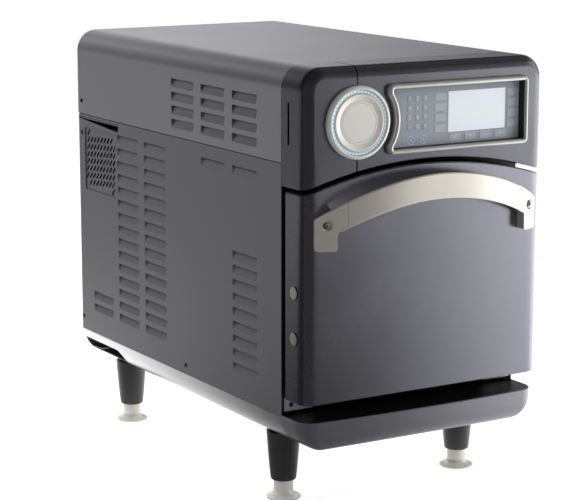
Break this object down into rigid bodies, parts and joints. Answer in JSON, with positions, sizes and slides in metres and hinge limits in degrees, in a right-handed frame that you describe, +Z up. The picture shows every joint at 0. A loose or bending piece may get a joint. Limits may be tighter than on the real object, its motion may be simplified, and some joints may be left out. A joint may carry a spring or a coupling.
{
  "type": "speed oven",
  "caption": "Compact countertop speed oven with a drop-down door under a bowed handle, louvred side panels, a crumb tray and levelling feet.",
  "frame": {"origin": "on the floor, in the middle of the overall footprint", "axes": "+X to the oven's right as seen from the front, +Y to its back, +Z up; the door faces -Y"},
  "size_m": [0.406, 0.754, 0.64],
  "materials": {
    "base_pan": "brushed",
    "top_cover": "satin metallic paint",
    "side_panel_left": "satin metallic paint",
    "side_panel_right": "satin metallic paint",
    "fan_grille": "satin metallic paint",
    "back_panel": "zinc coated",
    "cord_gland": "matt black",
    "front_frame": "brushed",
    "cook_chamber": "brushed",
    "insulation": "mineral wool",
    "oven_rack": "brushed",
    "upper_jetplate": "brushed",
    "lower_jetplate": "brushed",
    "blower_housing": "mill finish",
    "top_blower_wheel": "brushed",
    "top_blower_motor": "painted casting",
    "bottom_blower_wheel": "brushed",
    "bottom_blower_motor": "painted casting",
    "waveguide": "mill finish",
    "stirrer": "brushed",
    "magnetron": "zinc coated",
    "component_shelf": "zinc coated",
    "transformer": "lacquered windings and iron core",
    "capacitor": "zinc coated",
    "cooling_fan_frame": "matt black",
    "cooling_fan_rotor": "matt black",
    "fascia_main": "satin metallic paint",
    "fascia_end": "satin metallic paint",
    "badge_rim": "satin, warm grey",
    "light_ring": "lit, pale cyan",
    "badge_face": "satin, warm grey",
    "display_bezel": "satin, warm grey",
    "keypad_overlay": "satin grey film",
    "display_window": "clear window over a lit display",
    "control_board": "green lacquer",
    "door_cover": "satin metallic paint",
    "door_inner_pan": "brushed",
    "door_choke_plate": "brushed",
    "door_seal": "matt",
    "hinge_arm_left": "brushed",
    "hinge_arm_right": "brushed",
    "hinge_knuckle_left": "zinc coated",
    "hinge_knuckle_right": "zinc coated",
    "handle_bar": "satin, warm grey",
    "handle_bracket_left": "satin, warm grey",
    "handle_bracket_right": "satin, warm grey",
    "tray_front": "satin metallic paint",
    "tray_pan": "zinc coated",
    "leg_front_left": "gloss black",
    "foot_front_left": "brushed",
    "leg_front_right": "gloss black",
    "foot_front_right": "brushed",
    "leg_rear_left": "gloss black",
    "foot_rear_left": "brushed",
    "leg_rear_right": "gloss black",
    "foot_rear_right": "brushed",
    "door_plug_left_upper": "brushed",
    "door_plug_left_lower": "brushed",
    "door_plug_right_upper": "brushed",
    "door_plug_right_lower": "brushed"
  },
  "bodies": {
    "casing": {"base_pan": "base_pan", "top_cover": "top_cover", "side_panel_left": "side_panel_left", "side_panel_right": "side_panel_right", "fan_grille": "fan_grille", "back_panel": "back_panel", "cord_gland": "cord_gland", "front_frame": "front_frame", "cook_chamber": "cook_chamber", "insulation": "insulation", "oven_rack": "oven_rack", "upper_jetplate": "upper_jetplate", "lower_jetplate": "lower_jetplate", "blower_housing": "blower_housing", "top_blower_motor": "top_blower_motor", "bottom_blower_motor": "bottom_blower_motor", "waveguide": "waveguide", "magnetron": "magnetron", "component_shelf": "component_shelf", "transformer": "transformer", "capacitor": "capacitor", "cooling_fan_frame": "cooling_fan_frame", "fascia_main": "fascia_main", "fascia_end": "fascia_end", "badge_rim": "badge_rim", "light_ring": "light_ring", "badge_face": "badge_face", "display_bezel": "display_bezel", "keypad_overlay": "keypad_overlay", "display_window": "display_window", "control_board": "control_board", "hinge_arm_left": "hinge_arm_left", "hinge_arm_right": "hinge_arm_right", "leg_front_left": "leg_front_left", "leg_front_right": "leg_front_right", "leg_rear_left": "leg_rear_left", "leg_rear_right": "leg_rear_right"},
    "door": {"door_cover": "door_cover", "door_inner_pan": "door_inner_pan", "door_choke_plate": "door_choke_plate", "door_seal": "door_seal", "hinge_knuckle_left": "hinge_knuckle_left", "hinge_knuckle_right": "hinge_knuckle_right", "handle_bar": "handle_bar", "handle_bracket_left": "handle_bracket_left", "handle_bracket_right": "handle_bracket_right", "door_plug_left_upper": "door_plug_left_upper", "door_plug_left_lower": "door_plug_left_lower", "door_plug_right_upper": "door_plug_right_upper", "door_plug_right_lower": "door_plug_right_lower"},
    "tray": {"tray_front": "tray_front", "tray_pan": "tray_pan"},
    "top_wheel": {"top_blower_wheel": "top_blower_wheel"},
    "bottom_wheel": {"bottom_blower_wheel": "bottom_blower_wheel"},
    "stirrer": {"stirrer": "stirrer"},
    "fan_rotor": {"cooling_fan_rotor": "cooling_fan_rotor"},
    "levelling_foot_front_left": {"foot_front_left": "foot_front_left"},
    "levelling_foot_front_right": {"foot_front_right": "foot_front_right"},
    "levelling_foot_rear_left": {"foot_rear_left": "foot_rear_left"},
    "levelling_foot_rear_right": {"foot_rear_right": "foot_rear_right"}
  },
  "joints": [
    {"name": "door_hinge", "type": "hinge", "parent": "casing", "child": "door", "pos_m": [0, -0.311, 0.181], "axis": [1, 0, 0], "range_deg": [0, 90]},
    {"name": "tray_slide", "type": "slide", "parent": "casing", "child": "tray", "axis": [0, -1, 0], "range_m": [0, 0.16]},
    {"name": "foot_screw_front_left", "type": "slide", "parent": "casing", "child": "levelling_foot_front_left", "axis": [0, 0, -1], "range_m": [-0.015, 0.02]},
    {"name": "foot_screw_front_right", "type": "slide", "parent": "casing", "child": "levelling_foot_front_right", "axis": [0, 0, -1], "range_m": [-0.015, 0.02]},
    {"name": "foot_screw_rear_left", "type": "slide", "parent": "casing", "child": "levelling_foot_rear_left", "axis": [0, 0, -1], "range_m": [-0.015, 0.02]},
    {"name": "foot_screw_rear_right", "type": "slide", "parent": "casing", "child": "levelling_foot_rear_right", "axis": [0, 0, -1], "range_m": [-0.015, 0.02]},
    {"name": "top_wheel_spin", "type": "hinge", "parent": "casing", "child": "top_wheel", "pos_m": [-0.068, 0.05, 0.3915], "axis": [0, 1, 0], "continuous": true},
    {"name": "bottom_wheel_spin", "type": "hinge", "parent": "casing", "child": "bottom_wheel", "pos_m": [0.068, 0.05, 0.2715], "axis": [0, 1, 0], "continuous": true},
    {"name": "stirrer_spin", "type": "hinge", "parent": "casing", "child": "stirrer", "pos_m": [0, -0.1429, 0.415], "axis": [0, 0, 1], "continuous": true},
    {"name": "fan_spin", "type": "hinge", "parent": "casing", "child": "fan_rotor", "pos_m": [-0.175, 0.2905, 0.4332], "axis": [1, 0, 0], "continuous": true}
  ]
}
